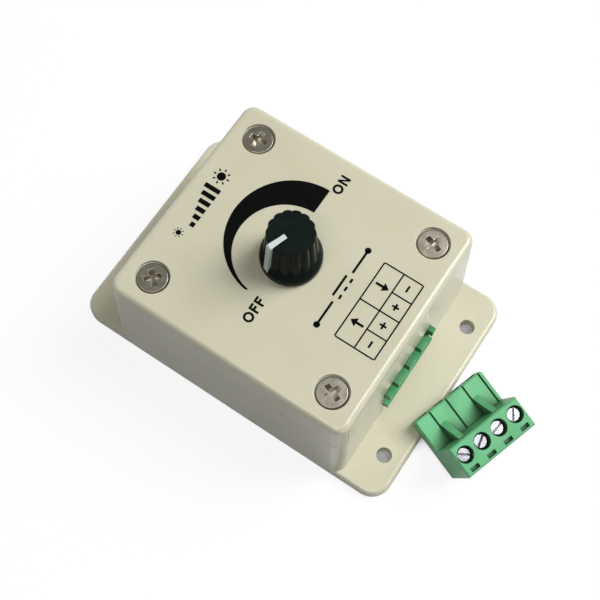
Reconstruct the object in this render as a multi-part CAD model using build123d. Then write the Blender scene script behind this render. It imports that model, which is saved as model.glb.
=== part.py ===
from build123d import *
import os
from math import atan, cos, degrees, radians, sqrt, tan

# Wall-box dimmer for lighting strips, with its pluggable terminal block lying unplugged.
# Millimetres and degrees. Origin at the middle of the base's underside, Z up,
# Y along the box towards the blank end, socket in the -Y wall.

# Case
case_width = 58.0
case_length = 64.0
case_height = 32.5
split_height = 22.0
end_wall_height = 28.7
end_wall_margin = 3.7
side_draft = 2.5
end_draft = 2.5
wall = 2.2
floor = 2.5
roof = 2.5
corner_radius = 3.0
top_edge_radius = 1.45
seam_gap = 0.15
lip_height = 1.4
lip_clearance = 0.15

# Mounting flanges
flange_reach = 11.0
flange_thick = 3.0
flange_corner_radius = 5.0
flange_edge_radius = 1.0
flange_hole = 3.7
flange_hole_side_inset = 10.0
flange_hole_end_inset = 5.0

# Lid screws and the posts that take them
lid_screw_span_x = 41.0
lid_screw_span_y = 46.8
lid_screw_shank = 3.3
lid_screw_head = 7.1
lid_screw_length = 24.0
lid_screw_sink = 0.3
lid_screw_rim = 0.25
lid_screw_bevel = 0.25
lid_screw_tip = 2.0
lid_screw_point = 1.1
lid_screw_turns = (69.0, 70.0, 2.0, 47.0)
countersink_clearance = 0.2
countersink_rim_clearance = 0.36
post_diameter = 7.4
thread_clearance = 0.05
shank_clearance = 0.3
bore_reserve = 1.0
recess_span = 4.2
recess_slot = 1.25
recess_depth = 1.5
recess_floor_span = 2.5
recess_floor_slot = 0.8

# Circuit board
board_level = 5.4
board_thick = 1.6
board_clearance = 0.5
board_screw_span_x = 26.0
board_screw_front_inset = 6.0
board_screw_back_inset = 4.5
board_screw_shank = 2.2
board_screw_head = 4.2
board_screw_head_height = 1.5
board_screw_length = 5.0
board_screw_crown = 0.7
standoff_diameter = 5.5
lead_diameter = 0.7
lead_clearance = 0.2
lead_tail = 1.4

# Terminal socket in the end wall, open at both ends
socket_x = 0.0
poles = 4
pole_pitch = 5.0
header_height = 8.5
header_depth = 12.0
header_reach = 1.3
header_end_margin = 0.0
header_floor = 1.5
header_back_wall = 3.2
header_notch_width = 2.2
header_notch_length = 6.0
header_window_clearance = 0.2
mate_clearance = 0.15
pin_side = 1.0
pin_clearance = 0.05
pin_setback = 4.4
pin_tail_gap = 1.2

# Rotary control
shaft_y = 0.7
shaft_diameter = 6.0
shaft_clearance = 0.05
shaft_hole_clearance = 0.8
shaft_flat = 1.0
shaft_flat_length = 8.6
shaft_end_clearance = 0.6
control_diameter = 16.5
control_height = 8.0
wafer_thick = 1.2
can_wall = 0.7
bushing_diameter = 7.5
bushing_height = 6.0
rotor_diameter = 12.0
rotor_clearance = 0.2
wiper_thick = 0.4
wiper_drop = 1.2
wiper_inset = 0.5
wiper_toe_spread = 12.0
wiper_track_radius = 5.0
track_clearance = 0.1
tab_width = 14.0
tab_length = 11.4
leg_spacing = 5.0
leg_width = 1.2
leg_thick = 0.6

# Knob
knob_gap = 1.1
knob_height = 12.9
knob_skirt_diameter = 14.1
knob_skirt_lip = 1.3
knob_flare_height = 5.5
knob_grip_diameter = 10.6
knob_grip_draft = 5.0
knob_lobes = 14
knob_groove_depth = 0.47
knob_rim_chamfer = 0.3
knob_cap = 3.0
pointer_angle = 160.0
pointer_width = 1.4
pointer_start = 1.4
pointer_start_width = 1.1
pointer_stand = 0.65
pointer_depth = 0.6
pointer_foot = 1.6
inlay_clearance = 0.02

# Loose terminal plug
nose_height = 4.2
nose_depth = 8.3
plug_height = 13.0
plug_depth = 16.1
plug_edge = 0.35
plug_yaw = -18.0
plug_corner_x = -14.05
plug_standoff = 11.12
plug_rest_gap = 0.05
screw_row = 11.4
screw_hole = 4.1
screw_head = 3.4
screw_head_height = 1.7
screw_head_sink = 1.3
screw_slot = 0.55
screw_slot_depth = 0.8
screw_shank = 2.5
screw_end_clearance = 0.2
screw_running_clearance = 0.15
screw_turns = (-39.0, 30.0, 11.0, 52.0)
cage_width = 3.9
cage_depth = 3.6
cage_height = 5.9
cage_wall = 0.5
cage_roof = 1.2
cage_clearance = 0.15
chamber_floor = 0.7
cage_travel = 2.5
contact_width = 2.4
contact_thick = 0.5
contact_level = 4.6
contact_gap = 1.2
contact_front = 1.2
contact_clearance = 0.1
mouth_width = 2.6
mouth_height = 2.4
wire_mouth_width = 3.3
wire_mouth_height = 3.6
groove_width = 0.5
groove_depth = 0.6
groove_offset = 4.0
rib_width = 1.5
rib_length = 4.4
rib_height = 6.0
rib_poles = (1, 3)
test_slot_length = 2.4
test_slot_width = 1.0
test_slot_depth = 1.2
test_slot_row = 15.0

# Worked-out places
side_lean = tan(radians(side_draft))
end_lean = tan(radians(end_draft))
wall_foot = flange_thick - flange_edge_radius
board_top = board_level + board_thick
plug_width = poles * pole_pitch
overall_length = case_length + 2 * flange_reach
lid_screw_places = [
    (sx * lid_screw_span_x / 2, sy * lid_screw_span_y / 2)
    for sx, sy in ((-1, -1), (1, -1), (1, 1), (-1, 1))
]
board_width = lid_screw_span_x - post_diameter - 2 * board_clearance
board_length = case_length - 2 * (wall + board_top * end_lean + board_clearance)

# Socket: its housing stands on the board and looks out of the end wall
header_width = plug_width + 2 * header_end_margin
header_middle = board_top + header_height / 2
header_front = -(case_length / 2 - (header_middle - flange_thick) * end_lean + header_reach)
header_back = header_front + header_depth
socket_floor = board_top + header_floor
socket_height = nose_height + 2 * mate_clearance
pole_places = [(i + 0.5) * pole_pitch for i in range(poles)]
header_pole_x = [socket_x + x - plug_width / 2 for x in pole_places]
pin_row_y = header_back + pin_tail_gap
board_back = board_length / 2
board_screw_places = [
    (sx * board_screw_span_x / 2, y)
    for y in (header_back + board_screw_front_inset, board_back - board_screw_back_inset)
    for sx in (-1, 1)
]

# Control: stacked on the board, shaft up through the lid into the knob
wafer_top = board_top + wafer_thick
can_top = board_top + control_height
rotor_bottom = wafer_top + track_clearance + wiper_drop
rotor_top = can_top - can_wall - rotor_clearance
knob_bottom = case_height + knob_gap
knob_top = knob_bottom + knob_height
knob_socket_top = knob_top - knob_cap
grip_lean = tan(radians(knob_grip_draft))
shaft_top = knob_socket_top - shaft_end_clearance
leg_row_y = shaft_y + tab_length - leg_width

# Plug: tilted so that its left underside clears the flange's top edge
flange_end = overall_length / 2
plug_corner_y = -flange_end - plug_standoff
plug_run = plug_standoff / cos(radians(plug_yaw))
plug_tilt = degrees(atan((flange_thick + plug_rest_gap) / plug_run))
plug_place = (
    Pos(plug_corner_x, plug_corner_y, 0)
    * Rot(0, 0, plug_yaw)
    * Rot(plug_tilt, 0, 0)
    * Pos(0, plug_depth, 0)
)
screw_seat = plug_height - screw_head_sink - screw_head_height
chamber_width = cage_width + 2 * cage_clearance
chamber_depth = cage_depth + 2 * cage_clearance
cage_bottom = chamber_floor + cage_clearance
chamber_top = cage_bottom + cage_height + cage_travel + cage_clearance
screw_end = contact_level + contact_thick + screw_end_clearance
contact_back = screw_row - cage_depth / 2 - cage_clearance - contact_clearance
pin_level = chamber_floor + contact_clearance + contact_thick + contact_gap / 2
pin_height = socket_floor + mate_clearance + pin_level


def block(x_range, y_range, z_range):
    """A box between two corners."""
    size = [high - low for low, high in (x_range, y_range, z_range)]
    low = (x_range[0], y_range[0], z_range[0])
    return Pos(*low) * Box(*size, align=(Align.MIN, Align.MIN, Align.MIN))


def post(x, y, z_low, z_high, diameter):
    """An upright cylinder."""
    height = z_high - z_low
    upright = Cylinder(diameter / 2, height, align=(Align.CENTER, Align.CENTER, Align.MIN))
    return Pos(x, y, z_low) * upright


def slab(z_low, z_high):
    """A slice of space wider than the whole part."""
    reach = case_width + overall_length
    return block((-reach, reach), (-reach, reach), (z_low, z_high))


def wall_outline(inset, z):
    """The case's outline at one height, drawn in by an inset; the ends lean in more than the sides."""
    rise = z - wall_foot
    width = case_width - 2 * (inset + rise * side_lean)
    length = case_length - 2 * (inset + rise * end_lean)
    return Plane.XY.offset(z) * RectangleRounded(width, length, corner_radius - inset)


def wall_prism(inset, z_low, z_high):
    """The drafted case form, drawn in by an inset, between two heights."""
    return loft([wall_outline(inset, z_low), wall_outline(inset, z_high)], ruled=True)


def outer_case():
    shell = wall_prism(0, wall_foot, case_height)
    rim = shell.faces().sort_by(Axis.Z)[-1].edges()
    return fillet(rim, top_edge_radius)


def make_base_case():
    outline = RectangleRounded(case_width, overall_length, flange_corner_radius)
    plate = extrude(outline, amount=flange_thick)
    plate = fillet(plate.faces().sort_by(Axis.Z)[-1].edges(), flange_edge_radius)
    base = plate + wall_prism(0, wall_foot, split_height)
    lip_inset = wall / 2 + lip_clearance
    base += wall_prism(lip_inset, floor, split_height + lip_height)
    end_half = case_width / 2 - end_wall_margin
    end_wall = wall_prism(0, split_height, end_wall_height)
    base += end_wall & block((-end_half, end_half), (-case_length, 0), (split_height, end_wall_height))
    base -= wall_prism(wall, floor, end_wall_height)
    bore_bottom = case_height - lid_screw_sink - lid_screw_length - bore_reserve
    for x, y in lid_screw_places:
        base += post(x, y, floor, split_height, post_diameter)
        base -= post(x, y, bore_bottom, split_height, lid_screw_shank + 2 * thread_clearance)
    screw_tip = board_top - board_screw_length
    for x, y in board_screw_places:
        base += post(x, y, floor, board_level, standoff_diameter)
        bore = board_screw_shank + 2 * thread_clearance
        base -= post(x, y, screw_tip - thread_clearance, board_level, bore)
    gap = header_window_clearance
    half = header_width / 2 + gap
    base -= block((socket_x - half, socket_x + half), (-case_length, -case_length / 2 + 2 * wall),
                  (board_top - gap, board_top + header_height + gap))
    for sx in (-1, 1):
        for sy in (-1, 1):
            x = sx * (case_width / 2 - flange_hole_side_inset)
            y = sy * (overall_length / 2 - flange_hole_end_inset)
            base -= post(x, y, 0, flange_thick, flange_hole)
    return base


def make_lid():
    bottom = split_height + seam_gap
    lid = outer_case() & slab(bottom, case_height)
    lid -= wall_prism(wall, bottom, case_height - roof)
    lid -= wall_prism(wall / 2, bottom, split_height + lip_height + lip_clearance)
    end_half = case_width / 2 - end_wall_margin + seam_gap
    end_back = -(case_length / 2 - (case_height - wall_foot) * end_lean - wall)
    lid -= block((-end_half, end_half), (-case_length, end_back), (bottom, end_wall_height + seam_gap))
    sink_radius = lid_screw_head / 2 + countersink_clearance
    hole_radius = lid_screw_shank / 2 + shank_clearance
    seat_level = case_height - lid_screw_sink - lid_screw_bevel - lid_screw_rim
    for x, y in lid_screw_places:
        lid += post(x, y, bottom, case_height - roof, post_diameter)
        lid -= post(x, y, bottom, case_height, 2 * hole_radius)
        lid -= post(x, y, seat_level, case_height, lid_screw_head + 2 * countersink_rim_clearance)
        depth = sink_radius - hole_radius
        sink = Cone(hole_radius, sink_radius, depth, align=(Align.CENTER, Align.CENTER, Align.MAX))
        lid -= Pos(x, y, seat_level) * sink
    lid -= post(0, shaft_y, case_height - roof, case_height, shaft_diameter + 2 * shaft_hole_clearance)
    return lid


def cross_recess(depth):
    """A tapering cross, mouth upwards at the origin."""
    cross = Rectangle(recess_span, recess_slot) + Rectangle(recess_slot, recess_span)
    floor_cross = Rectangle(recess_floor_span, recess_floor_slot)
    floor_cross += Rectangle(recess_floor_slot, recess_floor_span)
    return loft([Plane.XY.offset(-depth) * floor_cross, Plane.XY * cross], ruled=True)


def make_lid_screws():
    screws = []
    head_radius = lid_screw_head / 2
    shank_radius = lid_screw_shank / 2
    neck = -lid_screw_bevel - lid_screw_rim - head_radius + shank_radius
    with BuildSketch(Plane.XZ) as profile:
        with BuildLine():
            Polyline(
                (0, 0), (head_radius - lid_screw_bevel, 0), (head_radius, -lid_screw_bevel),
                (head_radius, -lid_screw_bevel - lid_screw_rim), (shank_radius, neck),
                (shank_radius, lid_screw_tip - lid_screw_length), (lid_screw_point / 2, -lid_screw_length),
                (0, -lid_screw_length), close=True)
        make_face()
    turned = revolve(profile.sketch, Axis.Z) - cross_recess(recess_depth)
    for (x, y), turn in zip(lid_screw_places, lid_screw_turns):
        screws.append(Pos(x, y, case_height - lid_screw_sink) * Rot(0, 0, turn) * turned)
    return Compound(children=screws)


def make_board_screws():
    screws = []
    for x, y in board_screw_places:
        head_top = board_top + board_screw_head_height
        head = post(x, y, board_top, head_top, board_screw_head)
        head = chamfer(head.faces().sort_by(Axis.Z)[-1].edges(), board_screw_crown)
        screw = head + post(x, y, board_top - board_screw_length, board_top, board_screw_shank)
        slot = cross_recess(recess_depth).scale(board_screw_head / lid_screw_head)
        screws.append(screw - Pos(x, y, head_top) * slot)
    return Compound(children=screws)


def lead(x, y, z_top):
    """A round wire that drops through the board and stands out below it."""
    return post(x, y, board_level - lead_tail, z_top, lead_diameter)


def axial_part(x, y, span, body_diameter, body_length):
    """A cylindrical component lying along Y on bent wire leads."""
    level = board_top + body_diameter / 2 + lead_clearance
    body = Pos(x, y, level) * Rot(90, 0, 0) * Cylinder(body_diameter / 2, body_length)
    body = chamfer(body.edges().filter_by(GeomType.CIRCLE), body_diameter * 0.15)
    tail = board_level - lead_tail
    path = Polyline((x, y - span / 2, tail), (x, y - span / 2, level),
                    (x, y + span / 2, level), (x, y + span / 2, tail))
    section = Plane(origin=path @ 0, z_dir=path % 0) * Circle(lead_diameter / 2)
    return body + sweep(section, path=path, transition=Transition.RIGHT)


# Components on the board
part_gap = 1.0
chip_x = -6.0
chip_width = 6.4
chip_length = 9.6
chip_height = 3.3
chip_stand = 0.5
chip_row_span = 7.62
chip_leg_pitch = 2.54
chip_legs_per_row = 4
chip_leg_width = 0.5
chip_leg_thick = 0.3

transistor_x = 5.5
transistor_stand = 4.0
transistor_width = 10.0
transistor_body_height = 9.0
transistor_body_thick = 3.2
transistor_tab_height = 15.5
transistor_tab_thick = 1.3
transistor_tab_hole = 3.6
transistor_leg_pitch = 2.54
transistor_leg_width = 0.8
transistor_leg_thick = 0.5

can_x = 0.0
can_diameter = 8.0
can_height = 11.5
can_groove = 0.35
can_groove_level = 1.8
can_lead_span = 3.5

diode_diameter = 4.0
diode_length = 9.0
diode_span = 14.0
diode_edge_inset = 3.7

resistor_diameter = 2.4
resistor_length = 6.5
resistor_span = 10.0
resistor_edge_inset = 2.3
resistor_column_step = 12.0

disc_column_step = 5.8
disc_diameter = 5.0
disc_thick = 2.2
disc_stand = 0.6
disc_lead_span = 3.0

chip_y = board_back - part_gap - chip_length / 2
transistor_y = board_back - part_gap - transistor_body_thick / 2 - transistor_tab_thick
disc_y = transistor_y - transistor_body_thick / 2 - part_gap - disc_thick / 2
disc_x = [transistor_x + side * disc_column_step / 2 for side in (-1, 1)]
can_y = pin_row_y + pin_side / 2 + board_clearance + can_diameter / 2
diode_x = board_width / 2 - diode_edge_inset
diode_y = shaft_y
resistor_x = resistor_edge_inset - board_width / 2
resistor_y = [shaft_y + side * resistor_column_step / 2 for side in (-1, 1)]
chip_rows = [chip_x - chip_row_span / 2, chip_x + chip_row_span / 2]
chip_leg_y = [
    chip_y + (i - (chip_legs_per_row - 1) / 2) * chip_leg_pitch for i in range(chip_legs_per_row)
]
transistor_leg_x = [transistor_x + i * transistor_leg_pitch for i in (-1, 0, 1)]
control_leg_x = [i * leg_spacing for i in (-1, 0, 1)]


def board_holes():
    """Every drilled hole of the board: place and diameter."""
    wire_hole = lead_diameter + 2 * lead_clearance
    strip_hole = leg_width + 2 * lead_clearance
    square_hole = pin_side * sqrt(2) + 2 * lead_clearance
    holes = [(x, y, board_screw_shank + 2 * lead_clearance) for x, y in board_screw_places]
    holes += [(x, pin_row_y, square_hole) for x in header_pole_x]
    holes += [(x, leg_row_y, strip_hole) for x in control_leg_x]
    holes += [(x, y, wire_hole) for x in chip_rows for y in chip_leg_y]
    holes += [(x, transistor_y, transistor_leg_width + 2 * lead_clearance) for x in transistor_leg_x]
    holes += [(can_x + end * can_lead_span / 2, can_y, wire_hole) for end in (-1, 1)]
    holes += [(diode_x, diode_y + end * diode_span / 2, wire_hole) for end in (-1, 1)]
    holes += [(resistor_x, y + end * resistor_span / 2, wire_hole) for y in resistor_y for end in (-1, 1)]
    holes += [(x + end * disc_lead_span / 2, disc_y, wire_hole) for x in disc_x for end in (-1, 1)]
    return holes


def make_circuit_board():
    board = block((-board_width / 2, board_width / 2), (-board_length / 2, board_length / 2),
                  (board_level, board_top))
    for x, y, diameter in board_holes():
        board -= post(x, y, board_level, board_top, diameter)
    return board


def make_header_housing():
    across = (socket_x - header_width / 2, socket_x + header_width / 2)
    top = board_top + header_height
    housing = block(across, (header_front, header_back), (board_top, top))
    cavity_end = header_back - header_back_wall
    socket_top = socket_floor + socket_height
    housing -= block(across, (header_front, cavity_end), (socket_floor, socket_top))
    notch = header_notch_width / 2
    notch_end = header_front + header_notch_length
    hole = pin_side / 2 + pin_clearance
    for x in header_pole_x:
        housing -= block((x - notch, x + notch), (header_front, notch_end), (socket_top, top))
        housing -= block((x - hole, x + hole), (cavity_end, header_back),
                         (pin_height - hole, pin_height + hole))
    return housing


def make_header_pins():
    half = pin_side / 2
    pins = []
    for x in header_pole_x:
        blade = block((x - half, x + half), (header_front + pin_setback, pin_row_y + half),
                      (pin_height - half, pin_height + half))
        tip = blade.faces().sort_by(Axis.Y)[0].edges()
        blade = chamfer(tip, pin_side * 0.25)
        tail = block((x - half, x + half), (pin_row_y - half, pin_row_y + half),
                     (board_level - lead_tail, pin_height))
        pins.append(blade + tail)
    return Compound(children=pins)


def make_pot_wafer():
    wafer = post(0, shaft_y, board_top, wafer_top, control_diameter)
    half = tab_width / 2
    wafer += block((-half, half), (shaft_y, shaft_y + tab_length), (board_top, wafer_top))
    for x in control_leg_x:
        wafer -= block(
            (x - leg_width / 2 - pin_clearance, x + leg_width / 2 + pin_clearance),
            (leg_row_y - leg_thick / 2 - pin_clearance, leg_row_y + leg_thick / 2 + pin_clearance),
            (board_top, wafer_top))
    return wafer


def make_pot_terminals():
    legs = []
    half = leg_width / 2
    foot = board_level - lead_tail
    for x in control_leg_x:
        drop = block((x - half, x + half), (leg_row_y - leg_thick / 2, leg_row_y + leg_thick / 2),
                     (foot, wafer_top + leg_thick))
        root_y = shaft_y + control_diameter / 2 + can_wall
        strip = block((x - half, x + half), (root_y, leg_row_y + leg_thick / 2),
                      (wafer_top, wafer_top + leg_thick))
        legs.append(drop + strip)
    return Compound(children=legs)


def make_pot_can():
    can = post(0, shaft_y, wafer_top, can_top, control_diameter)
    can = fillet(can.faces().sort_by(Axis.Z)[-1].edges(), can_wall)
    can -= post(0, shaft_y, wafer_top, can_top - can_wall, control_diameter - 2 * can_wall)
    can += post(0, shaft_y, can_top - can_wall, can_top + bushing_height, bushing_diameter)
    can -= post(0, shaft_y, wafer_top, can_top + bushing_height, shaft_diameter + 2 * shaft_clearance)
    return can


def shaft_section(clearance):
    """Round shaft section with a flat on the side away from the pointer."""
    radius = shaft_diameter / 2
    section = Circle(radius + clearance)
    cut = Pos(-2 * radius + shaft_flat - clearance, 0) * Rectangle(2 * radius, 4 * radius)
    return section - cut


def make_pot_shaft():
    shaft = post(0, shaft_y, rotor_bottom, shaft_top - shaft_flat_length, shaft_diameter)
    shaft += post(0, shaft_y, rotor_bottom, rotor_top, rotor_diameter)
    flatted = extrude(shaft_section(0), amount=shaft_flat_length)
    return shaft + Pos(0, shaft_y, shaft_top - shaft_flat_length) * Rot(0, 0, pointer_angle) * flatted


def make_pot_wiper():
    top = rotor_bottom
    bottom = top - wiper_thick
    wiper = post(0, shaft_y, bottom, top, rotor_diameter - 2 * wiper_inset)
    wiper -= post(0, shaft_y, bottom, top, shaft_diameter)
    for side in (-1, 1):
        toe = post(-wiper_track_radius, 0, wafer_top + track_clearance, bottom, 2 * wiper_thick)
        wiper += Pos(0, shaft_y, 0) * Rot(0, 0, pointer_angle + side * wiper_toe_spread / 2) * toe
    return wiper


def grip_radius(z):
    """Radius over the grip's lobes at a height above the knob's underside."""
    return knob_grip_diameter / 2 + (knob_height - z) * grip_lean


def grip_outline(z):
    """The grip's scalloped section: arcs that meet in notches, the pointer's direction at a notch."""
    crest = grip_radius(z)
    root = crest - knob_groove_depth
    pitch = 360.0 / knob_lobes
    with BuildSketch(Plane.XY.offset(z)) as section:
        with BuildLine():
            for i in range(knob_lobes):
                notch = Vector(root, 0).rotate(Axis.Z, i * pitch)
                lobe = Vector(crest, 0).rotate(Axis.Z, (i + 0.5) * pitch)
                ThreePointArc(notch, lobe, Vector(root, 0).rotate(Axis.Z, (i + 1) * pitch))
        make_face()
    return section.sketch


def pointer_blank(clearance):
    """The pointer along +X on the knob's own axis: a bar in the top and a rib down the grip's side."""
    rim = knob_rim_chamfer
    top_edge = grip_radius(knob_height) + pointer_stand
    foot_edge = grip_radius(pointer_foot) + pointer_stand
    inward = pointer_stand + pointer_depth + clearance
    floor_level = knob_height - pointer_depth - clearance
    half = pointer_width / 2 + clearance
    with BuildSketch(Plane.XZ.offset(-half)) as profile:
        with BuildLine():
            Polyline(
                (0, knob_height), (top_edge - rim, knob_height), (top_edge, knob_height - rim),
                (foot_edge, pointer_foot - clearance), (foot_edge - inward, pointer_foot - clearance),
                (top_edge - inward, floor_level), (0, floor_level), close=True)
        make_face()
    bar = extrude(profile.sketch, amount=2 * half)
    start = pointer_start - clearance
    start_half = pointer_start_width / 2 + clearance
    reach = foot_edge + pointer_width
    with BuildSketch() as wedge:
        with BuildLine():
            Polyline(
                (start, -start_half), (top_edge, -half), (reach, -half), (reach, half),
                (top_edge, half), (start, start_half), close=True)
        make_face()
    return bar & extrude(wedge.sketch, amount=knob_height)


def knob_envelope():
    """Turned body of the knob: skirt, flare and the core inside the grip."""
    skirt = knob_skirt_diameter / 2
    core = grip_radius(knob_height) - knob_groove_depth
    flare_end = grip_radius(knob_flare_height) - knob_groove_depth
    with BuildSketch(Plane.XZ) as profile:
        with BuildLine():
            Polyline((0, 0), (skirt, 0), (skirt, knob_skirt_lip))
            Spline((skirt, knob_skirt_lip), (flare_end, knob_flare_height),
                   tangents=((-grip_lean, 1), (-grip_lean, 1)))
            Polyline((flare_end, knob_flare_height), (core, knob_height), (0, knob_height), (0, 0))
        make_face()
    return revolve(profile.sketch, Axis.Z)


def make_knob():
    grip = loft([grip_outline(knob_skirt_lip), grip_outline(knob_height)], ruled=True)
    knob = knob_envelope() + grip
    rim = knob_rim_chamfer
    rim_level = knob_height - rim
    rim_radius = grip_radius(rim_level)
    keep = post(0, 0, 0, rim_level, 2 * knob_skirt_diameter)
    bevel = Cone(rim_radius, rim_radius - rim, rim, align=(Align.CENTER, Align.CENTER, Align.MIN))
    knob = knob & (keep + Pos(0, 0, rim_level) * bevel)
    knob -= pointer_blank(inlay_clearance)
    bore_radius = shaft_diameter / 2 + shaft_clearance
    knob -= post(0, 0, 0, shaft_top - shaft_flat_length - knob_bottom, 2 * bore_radius)
    bore = extrude(shaft_section(shaft_clearance), amount=knob_socket_top - knob_bottom)
    return Pos(0, shaft_y, knob_bottom) * Rot(0, 0, pointer_angle) * (knob - bore)


def make_knob_pointer():
    return Pos(0, shaft_y, knob_bottom) * Rot(0, 0, pointer_angle) * pointer_blank(0)


def make_timer_chip():
    low = board_top + chip_stand
    chip = block((chip_x - chip_width / 2, chip_x + chip_width / 2),
                 (chip_y - chip_length / 2, chip_y + chip_length / 2), (low, low + chip_height))
    notch = post(chip_x, chip_y + chip_length / 2, low + chip_height / 2, low + chip_height, chip_width / 4)
    return chip - notch


def make_timer_chip_legs():
    level = board_top + chip_stand + chip_height / 2
    legs = []
    for side, row in zip((-1, 1), chip_rows):
        face = chip_x + side * chip_width / 2
        for y in chip_leg_y:
            across = (y - chip_leg_width / 2, y + chip_leg_width / 2)
            outer = row + side * chip_leg_thick / 2
            inner = row - side * chip_leg_thick / 2
            shoulder = block(sorted((face, outer)), across, (level - chip_leg_thick, level))
            drop = block(sorted((inner, outer)), across, (board_level - lead_tail, level))
            legs.append(shoulder + drop)
    return Compound(children=legs)


def make_transistor_body():
    low = board_top + transistor_stand
    half = transistor_width / 2
    thick = transistor_body_thick / 2
    return block((transistor_x - half, transistor_x + half), (transistor_y - thick, transistor_y + thick),
                 (low, low + transistor_body_height))


def make_transistor_tab():
    low = board_top + transistor_stand
    half = transistor_width / 2
    face = transistor_y + transistor_body_thick / 2
    back = face + transistor_tab_thick
    tab = block((transistor_x - half, transistor_x + half), (face, back),
                (low, low + transistor_tab_height))
    hole_level = low + (transistor_body_height + transistor_tab_height) / 2
    hole = Cylinder(transistor_tab_hole / 2, 3 * transistor_tab_thick)
    pieces = [tab - Pos(transistor_x, face, hole_level) * Rot(90, 0, 0) * hole]
    for x in transistor_leg_x:
        across = (x - transistor_leg_width / 2, x + transistor_leg_width / 2)
        through = (transistor_y - transistor_leg_thick / 2, transistor_y + transistor_leg_thick / 2)
        pieces.append(block(across, through, (board_level - lead_tail, low)))
    return Compound(children=pieces)


def make_filter_capacitor():
    radius = can_diameter / 2
    groove_low = can_groove_level - 2 * can_groove
    groove_high = can_groove_level + 2 * can_groove
    with BuildSketch(Plane.XZ) as profile:
        with BuildLine():
            Polyline(
                (0, 0), (radius, 0), (radius, groove_low), (radius - can_groove, can_groove_level),
                (radius, groove_high), (radius, can_height), (0, can_height), close=True)
        make_face()
    can = revolve(profile.sketch, Axis.Z)
    can = chamfer(can.faces().sort_by(Axis.Z)[-1].edges(), can_groove)
    can = Pos(can_x, can_y, board_top) * can
    for end in (-1, 1):
        can += lead(can_x + end * can_lead_span / 2, can_y, board_top)
    return can


def make_flyback_diode():
    return axial_part(diode_x, diode_y, diode_span, diode_diameter, diode_length)


def make_resistors():
    bodies = []
    for y in resistor_y:
        bodies.append(axial_part(resistor_x, y, resistor_span, resistor_diameter, resistor_length))
    return Compound(children=bodies)


def make_ceramic_capacitors():
    discs = []
    level = board_top + disc_stand + disc_diameter / 2
    for x in disc_x:
        disc = Rot(90, 0, 0) * Cylinder(disc_diameter / 2, disc_thick)
        disc = Pos(x, disc_y, level) * chamfer(disc.edges().filter_by(GeomType.CIRCLE), disc_thick * 0.3)
        for end in (-1, 1):
            disc += lead(x + end * disc_lead_span / 2, disc_y, level)
        discs.append(disc)
    return Compound(children=discs)


# Loose plug, in its own axes: X along the poles, front face at Y = 0, underside at Z = 0


def make_plug_housing():
    with BuildSketch(Plane.YZ) as profile:
        with BuildLine():
            Polyline(
                (0, 0), (0, nose_height), (-nose_depth, nose_height), (-nose_depth, plug_height),
                (-plug_depth, plug_height), (-plug_depth, 0), close=True)
        make_face()
    housing = extrude(profile.sketch, amount=plug_width)
    top_rim = housing.faces().filter_by(Axis.Z).sort_by(Axis.Z)[-1].edges()
    nose_rim = housing.faces().filter_by(Axis.Y).sort_by(Axis.Y)[-1].edges()
    housing = chamfer(top_rim + nose_rim, plug_edge)
    for pole in rib_poles:
        with BuildSketch(Plane.YZ.offset(pole * pole_pitch - rib_width / 2)) as rib:
            with BuildLine():
                Polyline(
                    (-nose_depth, nose_height), (rib_length - nose_depth, nose_height),
                    (-nose_depth, nose_height + rib_height), close=True)
            make_face()
        housing += extrude(rib.sketch, amount=rib_width)
    for x in pole_places:
        housing -= pole_cuts(x)
    return housing


def pole_cuts(x):
    """Everything cut from the plug's housing for one pole."""
    cuts = post(x, -screw_row, screw_seat, plug_height, screw_hole)
    cuts += post(x, -screw_row, chamber_top, screw_seat, screw_shank + 2 * screw_running_clearance)
    half = chamber_width / 2
    front = -screw_row + chamber_depth / 2
    cuts += block((x - half, x + half), (front - chamber_depth, front), (chamber_floor, chamber_top))
    half = wire_mouth_width / 2
    cuts += block((x - half, x + half), (-plug_depth, -screw_row),
                  (cage_bottom, cage_bottom + wire_mouth_height))
    half = contact_width / 2 + contact_clearance
    channel_top = chamber_floor + 2 * contact_clearance + 2 * contact_thick + contact_gap
    cuts += block((x - half, x + half), (-screw_row, -contact_front + contact_clearance),
                  (chamber_floor, channel_top))
    bar_top = contact_level + contact_thick + contact_clearance
    cuts += block((x - half, x + half), (-screw_row, -contact_back + contact_clearance + contact_thick),
                  (chamber_floor, bar_top))
    half = mouth_width / 2
    low = pin_level - mouth_height / 2
    cuts += block((x - half, x + half), (-contact_front, 0), (low, low + mouth_height))
    groove = x - pole_pitch / 2 + groove_offset
    cuts += block((groove - groove_width / 2, groove + groove_width / 2), (-nose_depth, 0),
                  (nose_height - groove_depth, nose_height))
    half = test_slot_length / 2
    row = (-test_slot_row - test_slot_width / 2, -test_slot_row + test_slot_width / 2)
    cuts += block((x - half, x + half), row, (plug_height - test_slot_depth, plug_height))
    return cuts


def make_terminal_screw(x, turn):
    top = plug_height - screw_head_sink
    head = post(0, 0, screw_seat, top, screw_head)
    head = chamfer(head.faces().sort_by(Axis.Z)[-1].edges(), screw_slot_depth * 0.25)
    half = screw_slot / 2
    head -= block((-screw_head, screw_head), (-half, half), (top - screw_slot_depth, top))
    screw = head + post(0, 0, screw_end, screw_seat, screw_shank)
    return plug_place * Pos(x, -screw_row, 0) * Rot(0, 0, turn) * screw


def make_wire_clamp(x):
    half = cage_width / 2
    deep = cage_depth / 2
    top = cage_bottom + cage_height
    through = (-screw_row - deep, -screw_row + deep)
    cage = block((x - half, x + half), through, (cage_bottom, top))
    inner = half - cage_wall
    cage -= block((x - inner, x + inner), through, (cage_bottom + cage_wall, top - cage_roof))
    cage -= post(x, -screw_row, top - cage_roof, top, screw_shank + 2 * thread_clearance)
    return plug_place * cage


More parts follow.
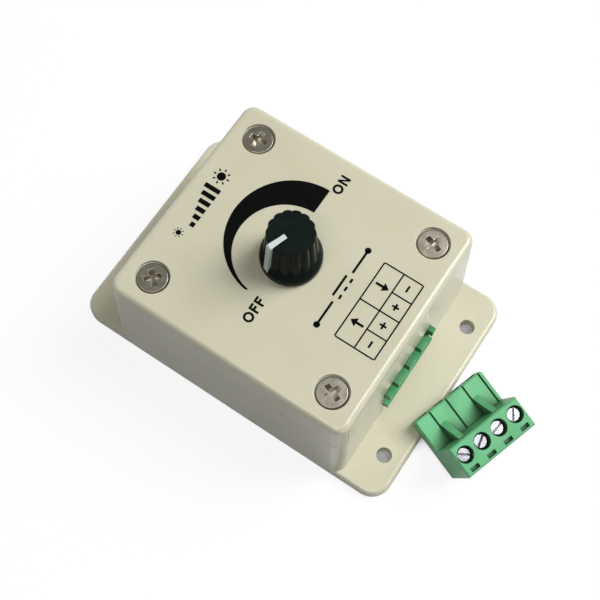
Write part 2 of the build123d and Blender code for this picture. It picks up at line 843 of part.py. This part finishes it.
def make_plug_contacts():
    contacts = []
    half = contact_width / 2
    low = chamber_floor + contact_clearance
    upper = low + contact_thick + contact_gap
    bar_top = contact_level + contact_thick
    for x in pole_places:
        across = (x - half, x + half)
        back = block(across, (-contact_back, -contact_back + contact_thick), (low, bar_top))
        bar = block(across, (-screw_row - cage_depth / 2, -contact_back), (contact_level, bar_top))
        leaves = block(across, (-contact_back, -contact_front), (low, low + contact_thick))
        leaves += block(across, (-contact_back, -contact_front), (upper, upper + contact_thick))
        contacts.append(plug_place * (back + bar + leaves))
    return Compound(children=contacts)


nodes = {
    "base_case": make_base_case(),
    "lid": make_lid(),
    "lid_screws": make_lid_screws(),
    "circuit_board": make_circuit_board(),
    "board_screws": make_board_screws(),
    "header_housing": make_header_housing(),
    "header_pins": make_header_pins(),
    "pot_wafer": make_pot_wafer(),
    "pot_terminals": make_pot_terminals(),
    "pot_can": make_pot_can(),
    "pot_shaft": make_pot_shaft(),
    "pot_wiper": make_pot_wiper(),
    "knob": make_knob(),
    "knob_pointer": make_knob_pointer(),
    "timer_chip": make_timer_chip(),
    "timer_chip_legs": make_timer_chip_legs(),
    "transistor_body": make_transistor_body(),
    "transistor_tab": make_transistor_tab(),
    "filter_capacitor": make_filter_capacitor(),
    "flyback_diode": make_flyback_diode(),
    "resistors": make_resistors(),
    "ceramic_capacitors": make_ceramic_capacitors(),
    "plug_housing": plug_place * make_plug_housing(),
    "plug_contacts": make_plug_contacts(),
}
for i, x in enumerate(pole_places):
    nodes[f"terminal_screw_{i + 1}"] = make_terminal_screw(x, screw_turns[i % len(screw_turns)])
    nodes[f"wire_clamp_{i + 1}"] = make_wire_clamp(x)

os.makedirs("parts", exist_ok=True)
for name, shape in nodes.items():
    export_step(shape, f"parts/{name}.step")
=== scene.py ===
# Dimmer box: finishes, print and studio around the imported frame
import math

import bmesh
import bpy
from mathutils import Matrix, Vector


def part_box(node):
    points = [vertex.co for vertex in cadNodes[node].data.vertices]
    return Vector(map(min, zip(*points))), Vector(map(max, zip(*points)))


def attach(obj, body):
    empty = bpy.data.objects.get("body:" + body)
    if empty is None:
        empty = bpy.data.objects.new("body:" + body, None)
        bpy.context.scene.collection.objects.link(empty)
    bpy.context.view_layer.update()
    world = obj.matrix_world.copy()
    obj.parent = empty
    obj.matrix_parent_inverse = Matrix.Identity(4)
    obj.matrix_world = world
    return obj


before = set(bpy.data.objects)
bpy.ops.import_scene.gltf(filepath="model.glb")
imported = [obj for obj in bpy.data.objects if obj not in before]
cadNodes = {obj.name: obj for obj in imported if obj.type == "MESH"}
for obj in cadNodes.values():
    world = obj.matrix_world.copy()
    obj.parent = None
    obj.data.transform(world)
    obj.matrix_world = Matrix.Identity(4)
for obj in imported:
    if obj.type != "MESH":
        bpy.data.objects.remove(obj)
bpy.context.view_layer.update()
mm = 0.001  # in metres
print("frame loaded,", len(cadNodes), "nodes")


def hexColour(text):
    # sRGB hex to the linear colour that sockets take
    parts = [int(text[i:i + 2], 16) / 255 for i in (1, 3, 5)]
    return [c / 12.92 if c <= 0.04045 else ((c + 0.055) / 1.055) ** 2.4 for c in parts] + [1.0]


def addNode(tree, kind, settings=None, links=None):
    # a setting goes to the socket of that name or number, or else to the node itself
    node = tree.nodes.new("ShaderNode" + kind)
    for key, value in (settings or {}).items():
        if isinstance(key, int) or key in node.inputs:
            node.inputs[key].default_value = value
        else:
            setattr(node, key, value)
    for key, source in (links or {}).items():
        tree.links.new(source, node.inputs[key])
    return node


def startMaterial(name):
    mat = bpy.data.materials.new(name)
    mat.use_nodes = True
    tree = mat.node_tree
    tree.nodes.clear()
    place = addNode(tree, "TexCoord").outputs["Object"]
    return mat, tree, place


def finishMaterial(tree, shader):
    addNode(tree, "OutputMaterial", None, {"Surface": shader.outputs[0]})


# How every finish is drawn: noise values at a drift's two ends, octaves, rays for edges and painted gap shade
drawn = {"toneBand": (0.3, 0.7), "roughBand": (0.2, 0.8), "toneDetail": 3.0, "roughDetail": 2.0,
         "edgeRays": 6, "gapRays": 8}


def mottle(tree, place, look):
    # cloudy colour drift between two hex tones, one cloud about cloudMm across
    noise = addNode(tree, "TexNoise", {"Scale": 1 / (look["cloudMm"] * mm), "Detail": drawn["toneDetail"]},
                    {"Vector": place})
    ramp = addNode(tree, "ValToRGB", None, {"Fac": noise.outputs["Fac"]})
    tones = (look["dark"], look["light"])
    for stop, position, tone in zip(ramp.color_ramp.elements, drawn["toneBand"], tones):
        stop.position = position
        stop.color = hexColour(tone)
    return ramp.outputs["Color"]


def spread(tree, place, look):
    # roughness that drifts between two values, one drift about roughMm across
    sizeMm = look.get("roughMm", look["cloudMm"])
    noise = addNode(tree, "TexNoise", {"Scale": 1 / (sizeMm * mm), "Detail": drawn["roughDetail"]},
                    {"Vector": place})
    start, end = drawn["roughBand"]
    low, high = look["rough"]
    span = addNode(tree, "MapRange", {"From Min": start, "From Max": end, "To Min": low, "To Max": high},
                   {"Value": noise.outputs["Fac"]})
    return span.outputs["Result"]


def grain(tree, place, look):
    # fine moulded or blasted grain as bump, over edges that are softened where edgeMm is set
    noise = addNode(tree, "TexNoise", {"Scale": 1 / (look["grainMm"] * mm), "Detail": look["grainDetail"]},
                    {"Vector": place})
    links = {"Height": noise.outputs["Fac"]}
    if look["edgeMm"]:
        edge = addNode(tree, "Bevel", {"samples": drawn["edgeRays"], "Radius": look["edgeMm"] * mm})
        links["Normal"] = edge.outputs["Normal"]
    bump = addNode(tree, "Bump", {"Strength": look["grainShows"], "Distance": look["grainDeepMm"] * mm},
                   links)
    return bump.outputs["Normal"]


def paintedHollowShade(tree, colour, look):
    # painted shade: the colour is darkened where walls within gapMm keep the light out, fully where the open
    # share is shut or less, not at all from clear on
    near = addNode(tree, "AmbientOcclusion", {"samples": drawn["gapRays"], "Distance": look["gapMm"] * mm})
    shade = addNode(tree, "MapRange", {"From Min": look["shut"], "From Max": look["clear"],
                                       "To Min": 1 - look["paintedGapShade"], "To Max": 1.0},
                    {"Value": near.outputs["AO"]})
    # 6 and 7 are the colour inputs, 0 is the factor and output 2 the mixed colour
    mixed = addNode(tree, "Mix", {"data_type": "RGBA", "blend_type": "MULTIPLY", 0: 1.0},
                    {6: colour, 7: shade.outputs["Result"]})
    return mixed.outputs[2]


def makeFinish(name, look):
    mat, tree, place = startMaterial(name)
    colour = mottle(tree, place, look)
    # painted shade in gaps and hollows, where the finish asks for it
    if look["paintedGapShade"]:
        colour = paintedHollowShade(tree, colour, look)
    shader = addNode(tree, "BsdfPrincipled", look["shader"], {
        "Base Color": colour, "Roughness": spread(tree, place, look), "Normal": grain(tree, place, look)})
    finishMaterial(tree, shader)
    return mat


# A plain moulding and a plain plating; each finish below states what differs.
# Real grit is under 0.1 mm, too fine for the render, so grain is drawn two to three times as coarse.
moulded = {"cloudMm": 4.0, "grainMm": 0.22, "grainDeepMm": 0.012, "grainShows": 0.3, "grainDetail": 4.0,
           "edgeMm": 0.1, "gapMm": 5.0, "paintedGapShade": 0.0, "shut": 0.35, "clear": 0.85, "shader": {"IOR": 1.5}}
plated = {"cloudMm": 2.0, "grainMm": 0.3, "grainDeepMm": 0.002, "grainShows": 0.1, "grainDetail": 1.0,
          "edgeMm": 0.12, "gapMm": 0.8, "paintedGapShade": 0.0, "shut": 0.3, "clear": 0.7,
          "shader": {"Metallic": 1.0}}

# Moulded ABS from a spark-eroded tool: even semi-gloss ivory, faint flow clouds, a soft glow at its edges
# and painted shade that darkens deep gaps, such as the line where lid and base meet
ivoryAbs = makeFinish("ivoryAbs", {
    **moulded, "dark": "#c9c6ad", "light": "#cecbb4", "cloudMm": 14.0,
    "rough": (0.225, 0.265), "roughMm": 14.0 / 3,  # three drifts to a cloud
    "grainMm": 0.28, "grainDeepMm": 0.008, "grainShows": 0.12, "edgeMm": 0.22,
    # painted shade in the ivory's deep gaps
    "gapMm": 1.0, "paintedGapShade": 0.9, "shut": 0.12, "clear": 0.42,
    "shader": {"IOR": 1.53, "Subsurface Weight": 0.35, "Subsurface Radius": (1.0, 0.8, 0.5),
               "Subsurface Scale": 1.2 * mm}})
# Moulded ABS in black, satin: near-black, broad weak highlights, fine grain
blackAbs = makeFinish("blackSatinAbs", {
    **moulded, "dark": "#131a18", "light": "#19211f", "cloudMm": 3.0, "rough": (0.18, 0.24),
    "grainMm": 0.2, "grainShows": 0.25, "edgeMm": 0.12,
    "shader": {"IOR": 1.53, "Specular IOR Level": 0.016}})
# Pointer of white ABS, pressed in flush: clean cool white, hardly any sheen
whiteInlay = makeFinish("whiteInlayAbs", {
    **moulded, "dark": "#c2cec7", "light": "#ced8d2", "cloudMm": 2.0, "rough": (0.35, 0.45)})
# Glass-filled polyamide, moulded: mid green, chalky, with painted shade that turns its pockets nearly black
polyamide = {**moulded, "cloudMm": 5.0, "shader": {"IOR": 1.5, "Specular IOR Level": 0.25}}
plugGreen = makeFinish("greenPolyamide", {
    **polyamide, "dark": "#5fab76", "light": "#6dbb86", "rough": (0.30, 0.42), "paintedGapShade": 0.7})
# The same plastic a shade deeper for the socket, with stronger painted shade that darkens its mouth
socketGreen = makeFinish("deepGreenPolyamide", {
    **polyamide, "dark": "#4a9a62", "light": "#57a870", "rough": (0.32, 0.45), "paintedGapShade": 0.85})
# Nickel on steel, tumbled: warm pale grey, soft mirror, bright rims and painted shade in its recesses
nickel = makeFinish("nickelPlate", {
    **plated, "dark": "#b1ac9c", "light": "#cbc6b6", "cloudMm": 1.5, "rough": (0.29, 0.32), "paintedGapShade": 0.45})
# Zinc, blue passivated: cold silver with a clearer mirror and slots darkened by painted shade
zinc = makeFinish("brightZincPlate", {
    **plated, "dark": "#bcbec3", "light": "#d5d6da", "rough": (0.24, 0.27), "edgeMm": 0.05, "paintedGapShade": 0.8})
# Matt tin: soft white metal without a clear image
tin = makeFinish("tinPlate", {**plated, "dark": "#c6c3bb", "light": "#dcd9d2", "rough": (0.25, 0.4)})
# Rolled steel under thin zinc: flat grey
steel = makeFinish("zincPlatedSteel", {**plated, "dark": "#a2a2a2", "light": "#bcbcbc", "rough": (0.3, 0.45)})
# Sheet brass as stamped: yellow, slightly dull
brass = makeFinish("stampedBrass", {**plated, "dark": "#b98f3f", "light": "#d3aa58", "rough": (0.25, 0.4)})
# Turned aluminium: light grey, soft lines of light
aluminium = makeFinish("turnedAluminium", {
    **plated, "dark": "#b4b4b6", "light": "#cacacc", "rough": (0.3, 0.42)})
# Resin-bonded paper, punched: brown, dry, speckled
phenolic = makeFinish("phenolicPaper", {
    **moulded, "dark": "#5f3a1e", "light": "#734a29", "cloudMm": 1.5, "rough": (0.5, 0.65)})
# Solder lacquer over glass cloth: dark glossy green
solderMask = makeFinish("solderMask", {
    **moulded, "dark": "#1c5a2b", "light": "#256a35", "cloudMm": 3.0, "rough": (0.25, 0.4)})
# Moulded epoxy: charcoal, dull
epoxy = makeFinish("mouldedEpoxy", {
    **moulded, "dark": "#191919", "light": "#232323", "cloudMm": 1.5, "rough": (0.5, 0.65)})
# Dipped lacquers: tan on the resistors, ochre on the discs, both with a wet sheen
lacquer = {**moulded, "cloudMm": 1.5, "rough": (0.3, 0.45)}
lacquerTan = makeFinish("tanLacquer", {**lacquer, "dark": "#b39565", "light": "#c2a475"})
lacquerOchre = makeFinish("ochreLacquer", {**lacquer, "dark": "#b87726", "light": "#c98833"})
# Pad-printing ink: dense flat black, no shine
ink = makeFinish("blackPadInk", {
    **moulded, "dark": "#050605", "light": "#0a0b0a", "cloudMm": 1.2, "rough": (0.5, 0.6),
    "grainMm": 0.15, "edgeMm": 0.0, "shader": {"IOR": 1.12}})
print("materials made")

finishOf = {
    "base_case": ivoryAbs, "lid": ivoryAbs, "lid_screws": nickel, "board_screws": nickel,
    "circuit_board": solderMask, "header_housing": socketGreen, "header_pins": tin, "pot_wafer": phenolic,
    "pot_terminals": tin, "pot_can": steel, "pot_shaft": aluminium, "pot_wiper": brass, "knob": blackAbs,
    "knob_pointer": whiteInlay, "timer_chip": epoxy, "timer_chip_legs": tin, "transistor_body": epoxy,
    "transistor_tab": tin, "filter_capacitor": epoxy, "flyback_diode": epoxy, "resistors": lacquerTan,
    "ceramic_capacitors": lacquerOchre, "plug_housing": plugGreen, "plug_contacts": tin,
}
for pole in (1, 2, 3, 4):
    finishOf[f"terminal_screw_{pole}"] = zinc
    finishOf[f"wire_clamp_{pole}"] = tin
for name, node in cadNodes.items():
    node.data.materials.clear()
    node.data.materials.append(finishOf[name])
print("finishes on", len(cadNodes), "nodes")

# Print on the lid: thin ink solids, in millimetres from the shaft's axis
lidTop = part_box("lid")[1].z
shaftLow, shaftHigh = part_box("pot_shaft")
shaftX = (shaftLow.x + shaftHigh.x) / 2
shaftY = (shaftLow.y + shaftHigh.y) / 2
inkSheet = {"lift": 0.004, "thick": 0.02}  # the lift keeps the two faces from flickering


def inkPiece(name, outlines):
    # each outline is a closed run of (x, y) points in mm, as a thin solid on the lid
    bm = bmesh.new()
    low = lidTop + inkSheet["lift"] * mm
    high = low + inkSheet["thick"] * mm
    for outline in outlines:
        spots = [(shaftX + x * mm, shaftY + y * mm) for x, y in outline]
        rings = [[bm.verts.new((x, y, z)) for x, y in spots] for z in (low, high)]
        bm.faces.new(rings[1])
        bm.faces.new(rings[0][::-1])
        for i in range(len(outline)):
            j = (i + 1) % len(outline)
            bm.faces.new((rings[0][i], rings[0][j], rings[1][j], rings[1][i]))
    bmesh.ops.recalc_face_normals(bm, faces=bm.faces)
    bmesh.ops.triangulate(bm, faces=bm.faces)
    mesh = bpy.data.meshes.new(name)
    bm.to_mesh(mesh)
    bm.free()
    piece = bpy.data.objects.new(name, mesh)
    bpy.context.collection.objects.link(piece)
    mesh.materials.append(ink)
    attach(piece, "case")


def arcPoints(centre, radius, fromDeg, toDeg, steps, rise=None):
    # part of a circle, or of an upright ellipse where rise gives its other radius
    points = []
    for i in range(steps + 1):
        a = math.radians(fromDeg + (toDeg - fromDeg) * i / steps)
        points.append((centre[0] + radius * math.cos(a), centre[1] + (rise or radius) * math.sin(a)))
    return points


def bar(x0, y0, x1, y1):
    return [(x0, y0), (x1, y0), (x1, y1), (x0, y1)]


def disc(centre, radius, steps=32):
    return arcPoints(centre, radius, 0, 360 - 360 / steps, steps - 1)


# Tapered level scale between two offset circles: square at the full end, a point at the low end
scale = {"outer": {"centre": (3.35, 2.0), "radius": 15.2, "steps": 72},
         "inner": {"centre": (0.3, 1.95), "radius": 11.7, "steps": 60},
         "fullY": 1.9, "lowPoint": (-11.4, 3.6)}


def scaleEdge(edge):
    # along one circle, from the full end to the low point's direction
    x, y = edge["centre"]
    lowX, lowY = scale["lowPoint"]
    full = math.degrees(math.asin((scale["fullY"] - y) / edge["radius"]))
    low = math.degrees(math.atan2(lowY - y, lowX - x))
    return arcPoints(edge["centre"], edge["radius"], full, low, edge["steps"])


def printScale():
    outer = scaleEdge(scale["outer"])
    inner = scaleEdge(scale["inner"])
    inkPiece("print_scale", [outer[:-1] + inner[::-1]])


# ON and OFF at the scale's ends, drawn with straight strokes and a rounded ring
letters = {"height": 2.5, "stroke": 0.54, "gap": 0.40, "widthO": 2.4, "widthN": 2.0, "widthF": 1.55,
           "ringSteps": 24,
           "slantN": 1.55,  # where the slant meets an upright, in strokes from its end
           "armF": 0.9, "middleF": 0.53,  # the short arm's share of the width, and of the height
           "on": (18.7, -0.65), "off": (-17.7, -1.25)}


def letterO(x, y):
    # upright ring as two half outlines, so that each outline is simple
    w, h, s = letters["widthO"], letters["height"], letters["stroke"]
    centre = (x + w / 2, y + h / 2)
    halves = []
    for start in (90, 270):
        outer = arcPoints(centre, w / 2, start, start + 180, letters["ringSteps"], h / 2)
        inner = arcPoints(centre, w / 2 - s, start, start + 180, letters["ringSteps"], h / 2 - s)
        halves.append(outer + inner[::-1])
    return halves, w


def letterN(x, y):
    w, h, s = letters["widthN"], letters["height"], letters["stroke"]
    slant = letters["slantN"] * s
    outline = [(x, y), (x + s, y), (x + s, y + h - slant), (x + w - s, y), (x + w, y), (x + w, y + h),
               (x + w - s, y + h), (x + w - s, y + slant), (x + s, y + h), (x, y + h)]
    return [outline], w


def letterF(x, y):
    w, h, s = letters["widthF"], letters["height"], letters["stroke"]
    middle = y + h * letters["middleF"]
    arm = x + w * letters["armF"]
    outline = [(x, y), (x + s, y), (x + s, middle - s / 2), (arm, middle - s / 2), (arm, middle + s / 2),
               (x + s, middle + s / 2), (x + s, y + h - s), (x + w, y + h - s), (x + w, y + h), (x, y + h)]
    return [outline], w


def printWord(name, glyphs, corner):
    x, y = corner
    outlines = []
    for glyph in glyphs:
        shapes, width = glyph(x, y)
        outlines += shapes
        x += width + letters["gap"]
    inkPiece(name, outlines)


# Brightness pictogram: small sun, rising bars, large sun
level = {"left": -10.1, "base": 22.2, "height": 4.1,
         "bars": 6, "barWidth": 1.15, "barStep": 1.95, "barInset": 4.1,
         "firstBar": 0.28,  # share of the full height
         "smallSun": 0.62, "smallInset": 1.4, "largeSun": 1.05, "largeGap": 2.2,
         "rays": 8, "rayNear": 1.35, "rayFar": 1.95, "rayHalf": 0.17}  # rays in sun radii


def sun(x, y, radius):
    shapes = [disc((x, y), radius)]
    near, far, half = radius * level["rayNear"], radius * level["rayFar"], radius * level["rayHalf"]
    for i in range(level["rays"]):
        a = 2 * math.pi * i / level["rays"]
        along = Vector((math.cos(a), math.sin(a)))
        across = Vector((-math.sin(a), math.cos(a)))
        spots = [along * near - across * half, along * far - across * half,
                 along * far + across * half, along * near + across * half]
        shapes.append([(x + p.x, y + p.y) for p in spots])
    return shapes


def printLevel():
    base, height = level["base"], level["height"]
    middle = base + height / 2
    shapes = sun(level["left"] + level["smallInset"], middle, level["smallSun"])
    x = level["left"] + level["barInset"]
    for i in range(level["bars"]):
        rise = height * (level["firstBar"] + (1 - level["firstBar"]) * i / (level["bars"] - 1))
        shapes.append(bar(x, base, x + level["barWidth"], base + rise))
        x += level["barStep"]
    shapes += sun(x + level["largeGap"], middle, level["largeSun"])
    inkPiece("print_level", shapes)


# Direct-current mark between two lead lines that end in dots
supply = {"y": -13.1, "left": -10.5, "right": 11.7, "markWidth": 5.6, "line": 0.55,
          "apart": 0.5,  # from the leads' height to each line of the mark
          "clear": 1.2, "dot": 0.75, "dashes": 3}


def printSupply():
    y, s, dot = supply["y"], supply["line"], supply["dot"]
    middle = (supply["left"] + supply["right"]) / 2
    half = supply["markWidth"] / 2
    top, bottom = y + supply["apart"], y - supply["apart"]
    shapes = [bar(middle - half, top, middle + half, top + s)]
    dash = supply["markWidth"] / (2 * supply["dashes"] - 1)
    for i in range(supply["dashes"]):
        x = middle - half + 2 * i * dash
        shapes.append(bar(x, bottom - s, x + dash, bottom))
    for side, end in ((-1, supply["left"]), (1, supply["right"])):
        x0, x1 = sorted((middle + side * (half + supply["clear"]), end - side * dot))
        shapes.append(bar(x0, y - s / 2, x1, y + s / 2))
        shapes.append(disc((end - side * dot, y), dot))
    inkPiece("print_supply", shapes)


# Terminal table: two cells over four, with an arrow in, an arrow out and polarity signs
table = {"left": -9.72, "right": 10.6, "top": -17.66, "bottom": -27.67, "line": 0.34,
         "polarity": "-++-", "sign": 1.7, "signLine": 0.48}
arrow = {"tail": 1.6, "tip": 1.7, "neck": 0.2, "shaftHalf": 0.3, "headHalf": 1.1}  # lengths from its middle


def plusSign(x, y, half, w):
    return [(x - half, y - w), (x - w, y - w), (x - w, y - half), (x + w, y - half), (x + w, y - w),
            (x + half, y - w), (x + half, y + w), (x + w, y + w), (x + w, y + half),
            (x - w, y + half), (x - w, y + w), (x - half, y + w)]


def arrowSign(x, y, way):
    # way is 1 for up, -1 for down
    shaft, head = arrow["shaftHalf"], arrow["headHalf"]
    tail, neck, tip = y - way * arrow["tail"], y + way * arrow["neck"], y + way * arrow["tip"]
    return [(x - shaft, tail), (x + shaft, tail), (x + shaft, neck), (x + head, neck), (x, tip),
            (x - head, neck), (x - shaft, neck)]


def printTable():
    left, right, top, bottom = (table[k] for k in ("left", "right", "top", "bottom"))
    s = table["line"] / 2
    middle = (top + bottom) / 2
    centre = (left + right) / 2
    cell = (right - left) / len(table["polarity"])
    lines = [bar(left, y - s, right, y + s) for y in (top, middle, bottom)]
    lines += [bar(x - s, bottom + s, x + s, top - s) for x in (left, right, centre)]
    lines += [bar(x - s, bottom + s, x + s, middle - s) for x in (left + cell, left + cell * 3)]
    inkPiece("print_table", lines)

    half, w = table["sign"] / 2, table["signLine"] / 2
    signs = []
    for i, sign in enumerate(table["polarity"]):
        x, y = left + cell * (i + 0.5), (middle + bottom) / 2
        signs.append(plusSign(x, y, half, w) if sign == "+" else bar(x - half, y - w, x + half, y + w))
    for i, way in ((1, 1), (3, -1)):
        signs.append(arrowSign(left + cell * i, (top + middle) / 2, way))
    inkPiece("print_signs", signs)


printScale()
printWord("print_on", [letterO, letterN], letters["on"])
printWord("print_off", [letterO, letterF, letterF], letters["off"])
printLevel()
printSupply()
printTable()
print("print laid on the lid")


def seenRays(tree, path):
    # 1 for what the camera sees, also in metal or through glass
    seen = path.outputs["Is Camera Ray"]
    for kind in ("Is Glossy Ray", "Is Transmission Ray"):
        seen = addNode(tree, "Math", {"operation": "MAXIMUM"}, {0: seen, 1: path.outputs[kind]}).outputs[0]
    return seen


# White sweep under the part, lengths in metres: it looks white, keeps a light shadow near the part, and
# gives little light back
sweep = {"half": 1.6, "drop": 0.00002, "tone": 0.3, "shade": 0.14, "mirroredShade": 0.85,
         "fadeFrom": 0.15, "fadeTo": 0.8,  # distances between which the shadow fades out
         # floor seen through a hole of the part is painted grey as shade
         "holeReach": 0.004, "holeShut": 0.3, "holeClear": 0.45, "holeShade": 0.92}


def makeFloor():
    h = sweep["half"]
    mesh = bpy.data.meshes.new("floor")
    mesh.from_pydata([(-h, -h, 0), (h, -h, 0), (h, h, 0), (-h, h, 0)], [], [(0, 1, 2, 3)])
    floor = bpy.data.objects.new("floor", mesh)
    bpy.context.collection.objects.link(floor)
    floor.location.z = -sweep["drop"]
    mat, tree, place = startMaterial("whiteSweep")
    mat.cycles.emission_sampling = "NONE"  # the white only shows, it lights nothing
    lit = addNode(tree, "BsdfDiffuse", {"Color": (sweep["tone"], sweep["tone"], sweep["tone"], 1)})
    white = addNode(tree, "Emission", {"Color": (1, 1, 1, 1), "Strength": 1.0})
    pale = addNode(tree, "BsdfDiffuse", {"Color": (1, 1, 1, 1)})
    path = addNode(tree, "LightPath")
    # the part's plastic is lit by the grey floor, so white shows only before the first diffuse bounce
    first = addNode(tree, "Math", {"operation": "LESS_THAN", 1: 0.5}, {0: path.outputs["Diffuse Depth"]})
    seen = addNode(tree, "Math", {"operation": "MULTIPLY"}, {0: seenRays(tree, path), 1: first.outputs[0]})
    away = addNode(tree, "VectorMath", {"operation": "LENGTH"}, {0: place})
    shade = addNode(tree, "MapRange", {"From Min": sweep["fadeFrom"], "From Max": sweep["fadeTo"],
                                       "To Min": sweep["shade"], "To Max": 0.0},
                    {"Value": away.outputs["Value"]})
    shadow = addNode(tree, "MapRange", {"To Max": sweep["mirroredShade"]},
                     {"Value": path.outputs["Is Glossy Ray"], "To Min": shade.outputs["Result"]})
    # painted shade: the floor under the part's holes turns to the grey floor
    near = addNode(tree, "AmbientOcclusion", {"samples": drawn["gapRays"], "Distance": sweep["holeReach"]})
    paintedHoleShade = addNode(tree, "MapRange", {"From Min": sweep["holeShut"], "From Max": sweep["holeClear"],
                                      "To Min": sweep["holeShade"], "To Max": 0.0},
                   {"Value": near.outputs["AO"]})
    clear = addNode(tree, "MixShader", None, {0: shadow.outputs["Result"], 1: white.outputs[0],
                                              2: pale.outputs[0]})
    shown = addNode(tree, "MixShader", None, {0: paintedHoleShade.outputs["Result"], 1: clear.outputs[0],
                                              2: lit.outputs[0]})
    shader = addNode(tree, "MixShader", None, {0: seen.outputs[0], 1: lit.outputs[0], 2: shown.outputs[0]})
    finishMaterial(tree, shader)
    mesh.materials.append(mat)


# Room: it lights the part dimly, and looks white at the horizon and grey overhead, with the fade given by
# how far up a direction points
room = {"dim": 0.03, "ceiling": 0.12, "fadeFrom": 0.25, "fadeTo": 0.7}


def makeWorld():
    world = bpy.data.worlds.new("softRoom")
    bpy.context.scene.world = world
    world.use_nodes = True
    tree = world.node_tree
    tree.nodes.clear()
    seen = seenRays(tree, addNode(tree, "LightPath"))
    sight = addNode(tree, "SeparateXYZ", None, {0: addNode(tree, "TexCoord").outputs["Generated"]})
    fade = addNode(tree, "MapRange", {"From Min": room["fadeFrom"], "From Max": room["fadeTo"], "To Min": 1.0,
                                      "To Max": room["ceiling"]}, {"Value": sight.outputs["Z"]})
    dim = addNode(tree, "Background", {"Color": (1, 1, 1, 1), "Strength": room["dim"]})
    shown = addNode(tree, "Background", {"Color": (1, 1, 1, 1)}, {"Strength": fade.outputs["Result"]})
    shader = addNode(tree, "MixShader", None, {0: seen, 1: dim.outputs[0], 2: shown.outputs[0]})
    addNode(tree, "OutputWorld", None, {"Surface": shader.outputs[0]})


# Soft square lamps in metres and watts: a large key off the socket end, weaker ones above, left and behind
lampAim = (0, 0, 0.015)
lamps = {"key": {"place": (0.57, -0.48, 0.78), "size": 0.60, "power": 9.9},
         "over": {"place": (0.28, -0.24, 0.93), "size": 0.25, "power": 2.0},
         "left": {"place": (-0.35, -0.05, 0.90), "size": 0.50, "power": 2.9},
         "back": {"place": (0.10, 0.95, 0.35), "size": 0.50, "power": 0.9}}


def addLamp(name, setup):
    lamp = bpy.data.lights.new(name, "AREA")
    lamp.size = setup["size"]
    lamp.energy = setup["power"]
    ob = bpy.data.objects.new(name, lamp)
    bpy.context.collection.objects.link(ob)
    ob.location = setup["place"]
    ob.rotation_euler = (Vector(lampAim) - Vector(setup["place"])).to_track_quat("-Z", "Y").to_euler()


# Camera solved from the photograph's straight edges, in metres, degrees and lens millimetres
shot = {"place": (-0.078088, -0.051718, 0.25661), "turn": (20.6093, -0.3908, -56.3791),
        "lens": 66.298, "sensor": 36.0, "clipStart": 0.01}


def makeCamera():
    cam = bpy.data.cameras.new("shot")
    cam.lens = shot["lens"]
    cam.sensor_width = shot["sensor"]
    cam.clip_start = shot["clipStart"]
    ob = bpy.data.objects.new("shot", cam)
    bpy.context.collection.objects.link(ob)
    ob.location = shot["place"]
    ob.rotation_euler = [math.radians(a) for a in shot["turn"]]
    bpy.context.scene.camera = ob


makeFloor()
makeWorld()
for lampName, setup in lamps.items():
    addLamp(lampName, setup)
makeCamera()
bpy.context.scene.view_settings.view_transform = "Standard"
print("studio set")
